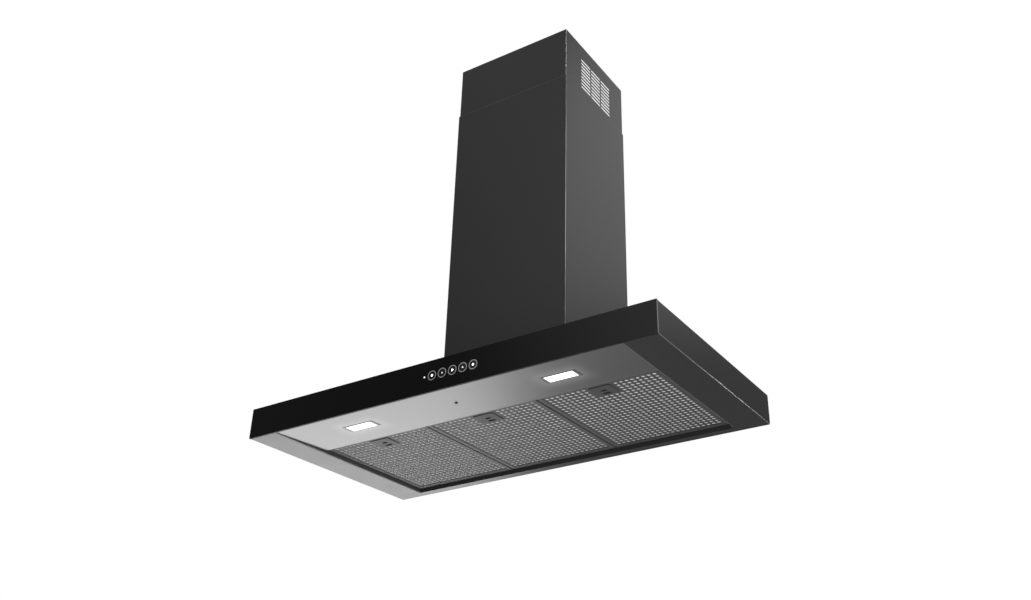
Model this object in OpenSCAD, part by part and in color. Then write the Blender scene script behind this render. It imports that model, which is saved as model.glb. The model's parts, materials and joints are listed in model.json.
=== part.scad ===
// Wall-mounted chimney range hood: a flat canopy box with a glass front, three grease
// filters under it, and a two-piece telescopic chimney over the blower.
// +X is to the right seen from the front, +Y points to the wall and +Z is up.
// The origin is on the wall, in the middle of the canopy, at the canopy's underside.

/* [Canopy] */
// Width of the canopy
canopy_w = 898; // [840:1:960]
// Depth of the canopy, from the wall to the front of the glass
canopy_d = 466; // [450:1:500]
// Height of the canopy
canopy_h = 61; // [57:0.5:75]
// Thickness of the folded steel sheet
sheet = 1; // [0.8:0.1:1.2]
// Outer radius of the folds along the canopy's ends and its opening's sides
fold_r = 1.6; // [1.3:0.1:1.8]
// Thickness of the glass front
glass_t = 4; // [3:0.5:6]
// Width of the strip under each end of the canopy
strip_w = 67; // [50:1:75]
// Width of the lip under the canopy along the wall
rear_lip = 20; // [18:1:26]
// Height of the folded walls round the underside's opening
upstand_h = 46; // [46:1:52]

/* [Lamp panel] */
// Depth of the lamp panel, from the front wall to its rear edge
panel_d = 134.5; // [125:0.5:145]
// Height of the panel's front edge
panel_front_z = 1.5; // [1:0.1:2.5]
// Height of the panel's rear edge
panel_rear_z = 4.9; // [4:0.1:6]
// Height of the flange at the panel's rear edge
panel_flange_h = 14; // [12:0.5:18]
// Distance from the canopy's middle to each lamp
lamp_x = 224.5; // [150:0.5:300]
// Distance from the front wall to the lamps, along the panel
lamp_v = 66; // [40:1:90]
// Length of a lamp's lit window
lens_l = 58.5; // [40:0.5:80]
// Width of a lamp's lit window
lens_w = 24; // [16:1:30]
// Width of the bezel's rim at the window's ends
bezel_rim = 6.8; // [4:0.1:8]
// Width of the bezel's rim along the window's sides
bezel_side = 2.5; // [2:0.1:4]
// Thickness of the bezel's rim below the panel
bezel_t = 0.6; // [0.4:0.1:1]
// Thickness of the lens
lens_t = 2; // [1.5:0.1:3]

/* [Filters] */
// Thickness of a filter
filter_t = 9; // [9:0.5:12]
// Height of the filters above the lamp panel's rear edge
filter_step = 1.9; // [1.5:0.1:2.5]
// Gap between neighbouring filters
filter_gap = 3; // [2:0.1:5]
// Gap between the outer filters and the opening's sides
filter_side_gap = 5.5; // [2:0.1:8]
// Gap between the filters and the lamp panel
filter_front_gap = 1; // [1:0.1:2]
// Gap between the filters and the rail behind them
filter_rear_gap = 4; // [4:0.1:5]
// Thickness of a filter's frame sheet
filter_sheet = 0.8; // [0.6:0.1:1]
// Width of a filter's rim at its sides
rim_side = 9; // [6:0.5:10]
// Width of a filter's rim at its front
rim_front = 5; // [4:0.5:6]
// Width of a filter's rim at its rear
rim_rear = 12; // [8:0.5:14]
// Diameter of a hole in a filter's face
hole_d = 7.4; // [5:0.1:8]
// Distance between holes across a filter
hole_pitch_x = 11; // [10:0.05:14]
// Distance between holes along a filter
hole_pitch_y = 11.15; // [10:0.05:14]
// Distance from a filter's front edge to its first row of holes
hole_front = 14.8; // [14.2:0.1:15.4]
// Columns of holes left out round the latch
blank_columns = 5; // [5:2:7]
// Rows of holes left out round the latch
blank_rows = 4; // [4:1:6]
// Distance between the folds of the mesh core
fold_pitch = 12; // [8:0.5:20]
// Thickness of the mesh core's foil
foil_t = 0.5; // [0.3:0.1:1]
// Width of a tab at a filter's rear edge
tab_w = 20; // [12:1:30]
// Thickness of a tab
tab_t = 1; // [0.8:0.1:1.2]
// Distance from a filter's middle to each tab
tab_x = 80; // [50:1:95]
// Gap between the tabs, the rail and what is behind them
tab_clear = 0.3; // [0.2:0.05:0.6]

/* [Filter latches] */
// Width of a latch plate
latch_w = 46; // [44:1:50]
// Thickness of a latch plate
latch_t = 1.2; // [1:0.1:1.5]
// Travel of a latch
latch_travel = 3; // [2:0.1:3]
// Width of the window over a latch
window_w = 40; // [30:1:42]
// Depth of the window over a latch
window_d = 30; // [28:1:31]
// Distance from a filter's front edge to the window
window_front = 16.5; // [15.5:0.5:17.5]
// Thickness of the pad under the window
pad_t = 0.8; // [0.6:0.1:1]
// How far the pad reaches past the window
pad_over = 2; // [1:0.5:3]
// Length of a latch's rear finger slot
slot_l = 16; // [12:1:20]
// Length of a latch's front finger slot
front_slot_l = 11; // [8:1:14]
// Width of a finger slot
slot_w = 6; // [5:0.1:6.5]
// Distance between the two finger slots
slot_pitch = 13; // [12:0.5:14]
// Width of a latch's tongue
tongue_w = 20; // [12:1:26]
// Running gap round a latch
latch_clear = 0.3; // [0.2:0.05:0.5]

/* [Controls] */
// Distance between the buttons
button_pitch = 22.5; // [21:0.5:26]
// Place of the middle button, to the right of the canopy's middle
button_x = 43; // [-60:1:80]
// Height of the buttons above the canopy's underside
button_z = 31; // [26:0.5:34]
// Outer diameter of the ring round a button
ring_d = 18.5; // [16:0.5:20]
// Width of the ring
ring_w = 1.5; // [1:0.1:2]
// How far the ring stands out of the glass
ring_proud = 0.3; // [0.1:0.1:0.6]
// Gap round a button's cap
cap_gap = 0.3; // [0.2:0.05:0.5]
// Travel of a button
button_travel = 1.2; // [0.6:0.1:1.2]
// Diameter of a button's stem
stem_d = 6; // [4:0.5:7]
// Running clearance of a stem in its guide, on the radius
stem_clear = 0.08; // [0.05:0.01:0.1]
// Distance from the first button to the indicator lamp
indicator_gap = 17; // [15:0.5:22]
// Diameter of the indicator lamp
indicator_d = 3; // [2:0.1:4]

/* [Chimney] */
// Width of the lower chimney
chimney_w = 294; // [290:1:320]
// Depth of the lower chimney
chimney_d = 257.5; // [256:0.5:275]
// Height of the lower chimney's top above the canopy's underside
lower_top = 800; // [700:1:900]
// Height of the upper chimney's top above the canopy's underside
upper_top = 932.5; // [880:0.5:1000]
// Length of the upper chimney
upper_l = 600; // [560:1:640]
// Gap between the two chimneys
chimney_gap = 0.65; // [0.4:0.05:1]
// Radius of the chimney's front corners
corner_r = 1.6; // [1.4:0.1:3]
// Width of the flanges along the chimney's rear edges
flange_w = 12; // [8:0.5:12.5]
// Width of the tabs that fasten the lower chimney
foot_tab_w = 24; // [16:1:40]
// Length of a vent slot
vent_l = 41; // [30:1:45]
// Height of a vent slot
vent_h = 5.2; // [4:0.1:7]
// Distance between the rows of vent slots
vent_pitch = 9.55; // [8:0.05:12]
// Width of the bars between the columns of vent slots
vent_bar = 3; // [2:0.5:6]
// Rows of vent slots
vent_rows = 9; // [3:1:10]
// Columns of vent slots
vent_columns = 3; // [1:1:3]
// Distance from the chimney's top to the first row's middle
vent_drop = 40.5; // [30:0.5:45]
// Distance from the wall to the middle of the vent
vent_mid = 125; // [110:1:140]

/* [Blower] */
// Width of the motor housing
housing_w = 260; // [250:1:264]
// Depth of the motor housing
housing_d = 236; // [230:1:240]
// Height of the motor housing
housing_h = 240; // [238:1:250]
// Thickness of the motor housing's sheet
housing_sheet = 1.2; // [1:0.1:1.5]
// Width of the flange round the housing's foot
foot_flange = 8; // [7.5:0.1:8.5]
// Diameter of the blower wheel
wheel_d = 130; // [124:1:134]
// Width of the blower wheel
wheel_w = 92; // [80:1:94]
// Depth of the wheel's blades
blade_d = 12; // [8:0.5:13]
// Number of blades
blades = 32; // [16:1:40]
// Gap between the wheel and the start of the scroll
scroll_gap = 7; // [6:0.5:8]
// How far the scroll opens out round the wheel
scroll_grow = 28; // [20:1:30]
// Inner width of the scroll
scroll_w = 100; // [98:1:110]
// Wall of the scroll
scroll_wall = 2; // [1.5:0.1:2.5]
// Diameter of the scroll's inlets
inlet_d = 96; // [90:1:100]
// Height of the wheel's axis above the canopy's top
wheel_z = 104; // [100:1:110]
// Distance from the wall to the wheel's axis
wheel_y = 92; // [90:1:98]
// Diameter of the motor
motor_d = 80; // [60:1:84]
// Length of the motor
motor_l = 88; // [70:1:100]
// Diameter of the motor's shaft
shaft_d = 8; // [6:0.5:10]
// Running clearance of the shaft in the motor, on the radius
shaft_clear = 0.05; // [0.02:0.01:0.1]
// Diameter of a screw
screw_d = 4; // [3:0.5:4]

/* [Outlet] */
// Outer diameter of the duct collar
collar_d = 150; // [120:1:150]
// Length of the duct collar
collar_l = 60; // [50:1:80]
// Wall of the duct collar
collar_wall = 2; // [1.5:0.1:3]
// Distance from the wall to the collar's axis
collar_y = 150; // [140:1:150]
// Thickness of a flap
flap_t = 1.6; // [1:0.1:2.5]
// Gap between a flap and the collar
flap_gap = 0.6; // [0.4:0.1:1]
// Diameter of the flaps' axle
axle_d = 3; // [2:0.5:4]
// Running clearance of the flaps on the axle, on the radius
axle_clear = 0.06; // [0.03:0.01:0.1]
// Diameter of the cable gland's bore
gland_d = 8; // [6:0.5:9]

/* [Mounting holes] */
// Diameter of the wall holes in the motor housing
wall_hole_d = 8; // [5:0.5:10]
// Distance between the wall holes from side to side
wall_hole_x = 200; // [180:1:220]
// Distance between the wall holes from bottom to top
wall_hole_z = 160; // [120:1:180]
// Diameter of the hole in a ceiling bracket
bracket_hole_d = 6; // [4:0.5:8]
// Width of a ceiling bracket's leaf on the wall
bracket_leaf = 17; // [15:0.5:20]
// Length of a ceiling bracket's arm along the chimney's side
bracket_arm = 38; // [25:1:50]
// Height of a ceiling bracket
bracket_h = 25; // [16:1:30]
// Thickness of a ceiling bracket
bracket_t = 1.5; // [1:0.1:2]

/* [Hidden] */
$fn = 48;

// Colours
steel_black = [0.13, 0.13, 0.14];
glass_black = [0.03, 0.03, 0.035];
steel_panel = [0.62, 0.62, 0.62];
steel_filter = [0.5, 0.5, 0.5];
mesh_silver = [0.78, 0.78, 0.78];
zinc = [0.66, 0.68, 0.7];
plastic_black = [0.06, 0.06, 0.06];
plastic_grey = [0.35, 0.35, 0.36];
ring_silver = [0.75, 0.75, 0.75];
light_white = [1, 1, 1];
board_green = [0.05, 0.3, 0.15];
rubber_black = [0.08, 0.08, 0.08];

// Overshoot of a cut past the faces that it opens
cut = 1;

// Canopy: planes of the front, the opening and the top
front_y = -canopy_d;
glass_back_y = front_y + glass_t;
inner_front_y = glass_back_y + sheet;
open_half = canopy_w / 2 - strip_w;
open_rear_y = -rear_lip;
top_z = canopy_h - sheet;

// Lamp panel: its slope and its lamps
panel_rear_y = inner_front_y + panel_d;
panel_slope = atan((panel_rear_z - panel_front_z) / panel_d);
panel_side_gap = 0.3;
lamp_sleeve_wall = 2;
lamp_sleeve_side = 1.5;
lamp_sleeve_h = 6;
lamp_fit = 0.2;
bezel_half = [lens_l / 2 + bezel_rim, lens_w / 2 + bezel_side];
sleeve_half = [lens_l / 2 + lamp_sleeve_wall, lens_w / 2 + lamp_sleeve_side];
lens_half = [(lens_l - lamp_fit) / 2, (lens_w - lamp_fit) / 2];
post_d = 8;
panel_screw_r = 2.8;
panel_screw_h = 1.5;

// Filters: three across the opening
filters = 3;
rail_gap = 1;
rail_y = open_rear_y - rail_gap - sheet;
filter_front_y = panel_rear_y + filter_front_gap;
filter_rear_y = rail_y - filter_rear_gap;
filter_d = filter_rear_y - filter_front_y;
filter_w = (2 * open_half - 2 * filter_side_gap - (filters - 1) * filter_gap) / filters;
filter_pitch = filter_w + filter_gap;
filter_z = panel_rear_z + filter_step;
filter_top_z = filter_z + filter_t;
face_z = filter_z + filter_sheet;
face_top_z = face_z + filter_sheet;
face_fit = 0.1;
hole_columns = floor((filter_w / 2 - rim_side - hole_d / 2) / hole_pitch_x);
hole_rows = floor((filter_d - hole_front - rim_rear - hole_d / 2) / hole_pitch_y) + 1;
tab_lift = 3.5;
tab_z = filter_z + tab_lift;
tab_short = 0.4;
tab_reach = filter_rear_gap + sheet + rail_gap - tab_short;
rail_lift = 1.5;
rim_bar = 10;

// Latches: a plate between two guides, in front of its spring
latch_z = face_top_z + latch_clear;
latch_inset = 3;
latch_front_y = filter_front_y + latch_inset;
window_y = filter_front_y + window_front;
latch_overlap = 2;
latch_rear_y = window_y + window_d + latch_overlap;
spring_flat = 2.7;
spring_l = latch_travel + spring_flat;
stop_y = latch_rear_y + spring_l;
stop_t = 0.8;
guide_t = 1;
guide_lip = 2;
slot_shift = 4.6;
slot_y = window_y + window_d / 2 + slot_shift - slot_pitch / 2;
tongue_short = 0.4;
spring_t = 0.5;
neck_gap = 0.3;
pad_z = face_z - latch_clear - pad_t;
pad_w = window_w + 2 * pad_over;
pad_front_y = window_y - latch_travel - pad_over;
pad_rear_y = window_y + window_d + pad_over;
pocket_clear = 2.5;
pocket_end = 0.4;
pocket_w = latch_w + 2 * (latch_clear + guide_t + pocket_clear);

// Controls: the stack from the glass back to the circuit board
buttons = 5;
ring_in_r = ring_d / 2 - ring_w;
cap_r = ring_in_r - cap_gap;
cap_front_y = front_y - 0.1;
cap_rear_y = glass_back_y;
cap_spare = 1.3;
guide_front_y = cap_rear_y + cap_spare + button_travel;
guide_plate_t = 2;
clip_t = 1;
clip_rim = 1;
clip_gap = 0.3;
clip_y = guide_front_y + guide_plate_t + clip_gap;
stem_tail = 6;
stem_rear_y = clip_y + clip_t + stem_tail;
dome_h = 3.2;
dome_gap = 0.3;
board_y = stem_rear_y + dome_gap + dome_h;
board_t = 1.6;
box_wall = 1.5;
board_space = 2.4;
box_rear_y = board_y + board_t + board_space + box_wall;
first_button_x = button_x - (buttons - 1) / 2 * button_pitch;
last_button_x = button_x + (buttons - 1) / 2 * button_pitch;
indicator_x = first_button_x - indicator_gap;
box_end = 13;
box_x0 = indicator_x - box_end;
box_x1 = last_button_x + box_end;
box_half_h = 19;
box_margin = 4;
pipe_fit = 0.1;

// Chimneys
lower_half = chimney_w / 2;
upper_inset = sheet + chimney_gap;
upper_half = lower_half - upper_inset;
upper_d = chimney_d - upper_inset;
upper_in = upper_half - sheet;
flange_gap = 0.3;
upper_rear_y = -sheet - flange_gap;
upper_bottom = upper_top - upper_l;
bracket_drop = 2.5;
bracket_z = upper_top - bracket_drop - bracket_h;
bracket_screw_x = upper_half - flange_w / 2 - 0.5;

// Blower
housing_half = housing_w / 2;
housing_top = canopy_h + housing_h;
intake_margin = 10;
axis_y = -wheel_y;
axis_z = canopy_h + wheel_z;
wheel_r = wheel_d / 2;
wheel_in_r = wheel_r - blade_d;
disc_t = 2;
hub_r = 12;
hub_l = 11;
blade_t = 1;
blade_lean = 14;
scroll_start = 50;
scroll_step = 10;
scroll_r0 = wheel_r + scroll_gap;
scroll_r1 = scroll_r0 + scroll_grow;
throat_in = scroll_r0 * cos(scroll_start);
throat_top = housing_top - housing_sheet - axis_z;
outlet_flange = 12;
mouth_l = 4;
mouth_t = 3;
motor_front_x = -8;
motor_rear_x = motor_front_x - motor_l;
motor_boss_r = 14;
motor_boss_l = 5;
bracket_arm_r = 66;
bracket_arm_w = 16;
bracket_ring = 10;
grommet_r = 7;
grommet_l = 10;
wall_hole_mid_z = 119;

// Outlet
collar_r = collar_d / 2;
collar_in = collar_r - collar_wall;
collar_base = 172;
collar_base_t = 2;
collar_z = housing_top + collar_base_t;
axle_drop = 6;
flap_z = collar_z + collar_l / 2 - axle_drop;
axle_inset = 0.2;
ledge_w = 3;
ledge_t = 2;
knuckle_wall = 1.8;
knuckle_r = axle_d / 2 + knuckle_wall;
knuckle_l = 30;
knuckle_gap = 1;
knuckles = 4;
knuckle_space = 0.9;
flap_edge = knuckle_r + knuckle_space;
terminal_x = [91, 127];
terminal_y = [-230, -130];
terminal_h = 30;
terminal_wall = 2;
gland_x = 109;
gland_y = -160;
gland_neck_r = gland_d / 2 + 2;
gland_flange_r = gland_neck_r + 3;
gland_step = 2;
gland_flange_t = 5;
gland_dome_h = 14;
gland_fit = 0.1;
capacitor_at = [-108, -60];
capacitor_r = 16;
capacitor_h = 54;

// Screws
screw_l = 8;
screw_head_r = 3.5;
screw_head_h = 2.5;
screw_fit = 0.15;
foot_tab_l = 11;
foot_tab_x = 90;

// Places of the screws that stand upright, each with the height under its head
flange_screw_y = [-30, -housing_d + 36];
flange_screws = [for (sx = [-1, 1], y = flange_screw_y) [sx * (housing_half + foot_flange / 2), y]];
front_screws = [for (sx = [-1, 1]) [sx * 60, -housing_d - foot_flange / 2]];
tab_screws = [for (sx = [-1, 1]) [sx * foot_tab_x, -chimney_d + sheet + foot_tab_l / 2]];
collar_screws = [for (sx = [-1, 1], sy = [-1, 1])
    [sx * (collar_base / 2 - 6), -collar_y + sy * (collar_base / 2 - 6)]];

// A box between two corners
module block(lo, hi) {
    translate(lo) cube([hi[0] - lo[0], hi[1] - lo[1], hi[2] - lo[2]]);
}

// A cylinder along +Y, from y0 to y1
module rod_y(x, z, r, y0, y1) {
    translate([x, y0, z]) rotate([-90, 0, 0]) cylinder(r = r, h = y1 - y0);
}

// A cylinder along +X, from x0 to x1
module rod_x(y, z, r, x0, x1) {
    translate([x0, y, z]) rotate([0, 90, 0]) cylinder(r = r, h = x1 - x0);
}

// A pan-head screw pointing down, with the underside of its head at the origin
module screw() {
    cylinder(r = screw_head_r, h = screw_head_h);
    translate([0, 0, -screw_l]) cylinder(d = screw_d, h = screw_l + cut / 2);
}

// Clearance holes for screws at the given places, through the sheets between two heights
module screw_holes(places, z0, z1) {
    for (p = places) translate([p[0], p[1], z0]) cylinder(d = screw_d + 2 * screw_fit, h = z1 - z0);
}

// A bar along Y from lo to hi, with its four long edges rounded
module round_bar(lo, hi, r) {
    translate([0, hi[1], 0]) rotate([90, 0, 0]) linear_extrude(hi[1] - lo[1]) {
        translate([lo[0] + r, lo[2]]) square([hi[0] - lo[0] - 2 * r, hi[2] - lo[2]]);
        translate([lo[0], lo[2] + r]) square([hi[0] - lo[0], hi[2] - lo[2] - 2 * r]);
        for (x = [lo[0] + r, hi[0] - r], z = [lo[2] + r, hi[2] - r])
            translate([x, z]) circle(r = r, $fn = 32);
    }
}

// What the radius of a fold takes away from a sharp edge along Y, at the origin
module fold_cut(length, r) {
    rotate([90, 0, 0]) linear_extrude(length)
        difference() {
            translate([-cut, -cut]) square(r + cut);
            translate([r, r]) circle(r = r, $fn = 32);
        }
}

// The canopy's folded box: top, back, ends, underside strips and the walls round the opening
module canopy_shell() {
    half = canopy_w / 2;
    color(steel_black)
    difference() {
        union() {
            difference() {
                round_bar([-half, glass_back_y, 0], [half, 0, canopy_h], fold_r);
                round_bar([-half + sheet, inner_front_y, sheet], [half - sheet, -sheet, top_z],
                    fold_r - sheet);
                block([-open_half, inner_front_y, -cut], [open_half, open_rear_y, 2 * sheet]);
            }
            for (side = [-1, 1])
                translate([side * (open_half + sheet / 2), 0, 0])
                    block([-sheet / 2, inner_front_y, 0], [sheet / 2, open_rear_y + sheet, upstand_h]);
            block([-open_half, open_rear_y, 0], [open_half, open_rear_y + sheet, upstand_h]);
        }
        block([-housing_half + intake_margin, -housing_d + intake_margin, top_z - cut],
            [housing_half - intake_margin, -rear_lip - 2, canopy_h + cut]);
        block([box_x0 + box_margin, glass_back_y - cut, button_z - box_half_h + box_margin],
            [box_x1 - box_margin, inner_front_y + cut, button_z + box_half_h - box_margin]);
        for (side = [-1, 1])
            mirror([side < 0 ? 1 : 0, 0, 0])
                translate([open_half, open_rear_y, 0])
                    fold_cut(open_rear_y - inner_front_y, fold_r);
        screw_holes(concat(flange_screws, front_screws, tab_screws), top_z - cut, canopy_h + cut);
    }
}

// The glass front, with a round hole for each button's ring and for the indicator
module glass_front() {
    half = canopy_w / 2;
    color(glass_black)
    difference() {
        block([-half, front_y, 0], [half, glass_back_y, canopy_h]);
        for (i = [0:buttons - 1])
            rod_y(first_button_x + i * button_pitch, button_z, ring_d / 2,
                front_y - cut, glass_back_y + cut);
        rod_y(indicator_x, button_z, indicator_d / 2 + pipe_fit, front_y - cut, glass_back_y + cut);
    }
}

// The rings that line the button holes
module button_rings() {
    color(ring_silver)
    for (i = [0:buttons - 1])
        translate([first_button_x + i * button_pitch, 0, button_z])
            difference() {
                rod_y(0, 0, ring_d / 2, front_y - ring_proud, glass_back_y);
                rod_y(0, 0, ring_in_r, front_y - cut, glass_back_y + cut);
            }
}

// The light guide between the indicator's diode and the glass
module indicator_lens() {
    color(light_white)
    rod_y(indicator_x, button_z, indicator_d / 2, front_y, board_y - 0.2);
}

// The box behind the glass: its front plate guides the buttons' stems
module control_housing() {
    z0 = button_z - box_half_h;
    z1 = button_z + box_half_h;
    color(plastic_black)
    difference() {
        block([box_x0, inner_front_y, z0], [box_x1, box_rear_y, z1]);
        block([box_x0 + box_wall, inner_front_y - cut, z0 + box_wall],
            [box_x1 - box_wall, guide_front_y, z1 - box_wall]);
        block([box_x0 + box_wall, guide_front_y + guide_plate_t, z0 + box_wall],
            [box_x1 - box_wall, box_rear_y - box_wall, z1 - box_wall]);
        for (i = [0:buttons - 1])
            rod_y(first_button_x + i * button_pitch, button_z, stem_d / 2 + stem_clear,
                guide_front_y - cut, guide_front_y + guide_plate_t + cut);
        rod_y(indicator_x, button_z, indicator_d / 2 + pipe_fit,
            guide_front_y - cut, guide_front_y + guide_plate_t + cut);
    }
}

// The circuit board, with its diode and a chip
module control_board() {
    chip_half = [8, 6];
    chip_t = 1.8;
    edge = box_wall + 0.2;
    z0 = button_z - box_half_h + edge;
    z1 = button_z + box_half_h - edge;
    color(board_green) {
        block([box_x0 + edge, board_y, z0], [box_x1 - edge, board_y + board_t, z1]);
        translate([button_x, board_y + board_t, button_z])
            block([-chip_half[0], 0, -chip_half[1]], [chip_half[0], chip_t, chip_half[1]]);
    }
}

// Rubber domes that push the buttons back
module keypad_domes() {
    color(rubber_black)
    for (i = [0:buttons - 1])
        translate([first_button_x + i * button_pitch, board_y, button_z])
            rotate([90, 0, 0]) cylinder(r1 = 4, r2 = 2.5, h = dome_h);
}

// A button: its cap in the glass, its stem in the guide and the clip that keeps it there
module button(i) {
    x = first_button_x + i * button_pitch;
    color(plastic_black) {
        rod_y(x, button_z, cap_r, cap_front_y, cap_rear_y);
        rod_y(x, button_z, stem_d / 2, cap_rear_y - cut, stem_rear_y);
        rod_y(x, button_z, stem_d / 2 + clip_rim, clip_y, clip_y + clip_t);
    }
}

// Places what it holds in the panel's plane: x across, y along the slope, z up from its underside
module on_panel() {
    translate([0, inner_front_y, panel_front_z]) rotate([panel_slope, 0, 0]) children();
}

// The sloped sheet that holds the lamps, with the flange that the latches catch
module lamp_panel() {
    half = open_half - panel_side_gap;
    hole = [sleeve_half[0] + lamp_fit, sleeve_half[1] + lamp_fit];
    latch_hole = 1;
    plate_z = sheet / cos(panel_slope);
    bend_z = panel_front_z + (panel_d - sheet) * tan(panel_slope) + plate_z;
    flange_z = panel_rear_z + panel_flange_h;
    profile = [
        [inner_front_y, panel_front_z], [panel_rear_y, panel_rear_z],
        [panel_rear_y, flange_z], [panel_rear_y - sheet, flange_z],
        [panel_rear_y - sheet, bend_z], [inner_front_y, panel_front_z + plate_z],
    ];
    color(steel_panel)
    difference() {
        translate([-half, 0, 0]) rotate([90, 0, 90]) linear_extrude(2 * half) polygon(profile);
        for (side = [-1, 1])
            on_panel() translate([side * lamp_x, lamp_v, 0])
                block([-hole[0], -hole[1], -cut], [hole[0], hole[1], sheet + cut]);
        on_panel() translate([0, lamp_v, -cut])
            cylinder(d = screw_d + 2 * screw_fit, h = sheet + 2 * cut);
        for (i = [0:filters - 1])
            translate([(i - 1) * filter_pitch, panel_rear_y, latch_z])
                block([-tongue_w / 2 - latch_hole, -sheet - cut, -latch_hole],
                    [tongue_w / 2 + latch_hole, cut, latch_t + latch_hole]);
    }
}

// The post that the lamp panel is screwed to
module panel_post() {
    y = inner_front_y + lamp_v * cos(panel_slope);
    color(zinc)
    intersection() {
        block([-post_d, y - post_d, 0], [post_d, y + post_d, top_z]);
        difference() {
            on_panel() translate([0, lamp_v, sheet]) cylinder(d = post_d, h = 2 * canopy_h);
            on_panel() translate([0, lamp_v, sheet - cut]) cylinder(d = screw_d, h = screw_l + cut);
        }
    }
}

// The screw in the middle of the lamp panel
module panel_screw() {
    color(plastic_black)
    on_panel() translate([0, lamp_v, 0]) {
        translate([0, 0, -panel_screw_h]) cylinder(r = panel_screw_r, h = panel_screw_h);
        translate([0, 0, -panel_screw_h / 2]) cylinder(d = screw_d, h = screw_l - 1);
    }
}

// A lamp's bezel: a rim under the panel and a sleeve through it
module lamp_bezel(side) {
    rim = bezel_half;
    sleeve = sleeve_half;
    color(steel_panel)
    on_panel() translate([side * lamp_x, lamp_v, 0])
        difference() {
            union() {
                block([-rim[0], -rim[1], -bezel_t], [rim[0], rim[1], 0]);
                block([-sleeve[0], -sleeve[1], -bezel_t / 2], [sleeve[0], sleeve[1], lamp_sleeve_h]);
            }
            block([-lens_l / 2, -lens_w / 2, -cut - bezel_t],
                [lens_l / 2, lens_w / 2, lamp_sleeve_h + cut]);
        }
}

// A lamp's diffuser
module lamp_lens(side) {
    color(light_white)
    on_panel() translate([side * lamp_x, lamp_v, -bezel_t / 2])
        block([-lens_half[0], -lens_half[1], 0], [lens_half[0], lens_half[1], lens_t]);
}

// A lamp's diode board, with its row of diodes below and its heat sink above
module lamp_board(side) {
    half = lens_half;
    diodes = 5;
    diode_pitch = 11;
    diode_w = 4;
    diode_h = 0.8;
    fins = 5;
    fin_t = 1.2;
    fin_h = 6;
    fin_sink = 0.2;
    color(board_green)
    on_panel() translate([side * lamp_x, lamp_v, lamp_sleeve_h - board_t]) {
        block([-half[0], -half[1], 0], [half[0], half[1], board_t]);
        for (i = [0:diodes - 1])
            translate([(i - (diodes - 1) / 2) * diode_pitch, 0, -diode_h])
                block([-diode_w / 2, -diode_w / 2, 0],
                    [diode_w / 2, diode_w / 2, diode_h + board_t / 2]);
        for (i = [0:fins - 1])
            translate([0, -half[1] + i * (2 * half[1] - fin_t) / (fins - 1), board_t - fin_sink])
                block([-half[0], 0, 0], [half[0], fin_t, fin_h]);
    }
}

// The rail behind the filters, with a slot for each of their rear tabs
module filter_rail() {
    half = open_half - panel_side_gap;
    rail_z = filter_z + rail_lift;
    rail_top = upstand_h - 2;
    tab_sweep = norm([tab_reach, tab_z + tab_t - filter_z - 1]);
    color(steel_black)
    difference() {
        union() {
            block([-half, rail_y, rail_z], [half, rail_y + sheet, rail_top]);
            block([-half, rail_y, rail_top - sheet], [half, open_rear_y, rail_top]);
        }
        for (i = [0:filters - 1], side = [-1, 1])
            translate([(i - 1) * filter_pitch + side * tab_x, rail_y, 0])
                block([-tab_w / 2 - 2, -cut, tab_z - tab_clear],
                    [tab_w / 2 + 2, sheet + cut / 2, filter_z + 1 + tab_sweep + tab_clear]);
    }
}

// Channels over the gaps between the filters, and angles along the outer filters
module filter_dividers() {
    bar_w = 16;
    bar_h = 6;
    z0 = filter_top_z + 0.3;
    angle_h = 11;
    angle_lap = 5;
    color(steel_black) {
        for (side = [-1, 1])
            translate([side * filter_pitch / 2, 0, 0])
                difference() {
                    block([-bar_w / 2, panel_rear_y, z0], [bar_w / 2, rail_y, z0 + bar_h]);
                    block([-bar_w / 2 + sheet, panel_rear_y - cut, z0 + sheet],
                        [bar_w / 2 - sheet, rail_y + cut, z0 + bar_h + cut]);
                }
        for (side = [-1, 1])
            mirror([side < 0 ? 1 : 0, 0, 0]) {
                block([open_half - filter_side_gap - angle_lap, panel_rear_y, z0],
                    [open_half, rail_y, z0 + sheet]);
                block([open_half - sheet, panel_rear_y, z0], [open_half, rail_y, z0 + angle_h]);
            }
    }
}

// Middle of a filter: 0 is the left one, 1 the middle one and 2 the right one
function filter_x(i) = (i - 1) * filter_pitch;

// A filter's folded frame: lower rim, walls, upper rim with its bars, and the rear tabs
module filter_frame(i) {
    half = filter_w / 2;
    inner = half - filter_sheet;
    open_x = half - rim_side;
    color(steel_filter)
    translate([filter_x(i), 0, 0]) {
        difference() {
            block([-half, filter_front_y, filter_z], [half, filter_rear_y, filter_top_z]);
            block([-inner, filter_front_y + filter_sheet, filter_z + filter_sheet],
                [inner, filter_rear_y - filter_sheet, filter_top_z - filter_sheet]);
            block([-open_x, filter_front_y + rim_front, filter_z - cut],
                [open_x, filter_rear_y - rim_rear, filter_z + filter_sheet + cut]);
            for (side = [-1, 1])
                mirror([side < 0 ? 1 : 0, 0, 0])
                    block([rim_bar / 2, filter_front_y + rim_side, filter_top_z - filter_sheet - cut],
                        [open_x, filter_rear_y - rim_side, filter_top_z + cut]);
            translate([0, filter_front_y, latch_z])
                block([-tongue_w / 2 - latch_clear, -cut, -latch_clear],
                    [tongue_w / 2 + latch_clear, filter_sheet + cut, latch_t + latch_clear]);
        }
        for (side = [-1, 1])
            translate([side * tab_x, filter_rear_y, tab_z])
                block([-tab_w / 2, -filter_sheet / 2, 0], [tab_w / 2, tab_reach, tab_t]);
    }
}

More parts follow.
